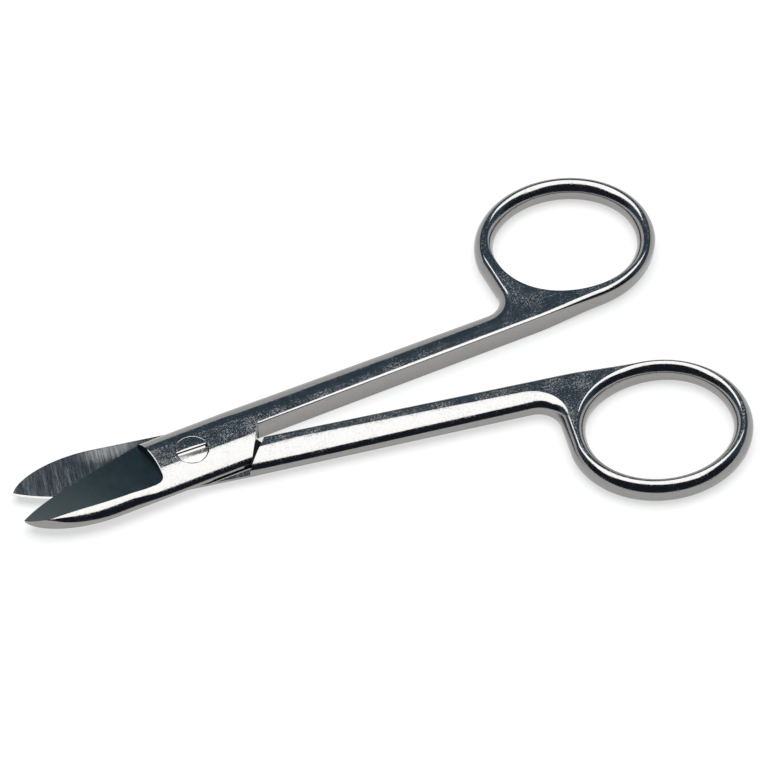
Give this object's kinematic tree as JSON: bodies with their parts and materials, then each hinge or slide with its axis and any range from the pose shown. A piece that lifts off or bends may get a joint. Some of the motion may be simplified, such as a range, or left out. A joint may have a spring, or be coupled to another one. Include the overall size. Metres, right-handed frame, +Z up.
{
  "type": "thread snips",
  "caption": "Small forged steel scissors for snipping thread, with short ground blades, finger rings and a slotted pivot screw.",
  "frame": {"origin": "on the pivot axis, at the level of the table that the snips lie on", "axes": "+X from the pivot midway between the finger rings, +Z up out of the screw head"},
  "size_m": [0.1147, 0.0676, 0.004],
  "materials": {
    "forged_steel": "polished",
    "screw_steel": "polished"
  },
  "bodies": {
    "lower": {"lower_half": "forged_steel", "pivot_screw": "screw_steel"},
    "upper": {"upper_half": "forged_steel"}
  },
  "joints": [
    {"name": "pivot", "type": "hinge", "parent": "lower", "child": "upper", "pos_m": [0, 0, 0.002], "axis": [0, 0, 1], "range_deg": [-11.2, 80]}
  ]
}
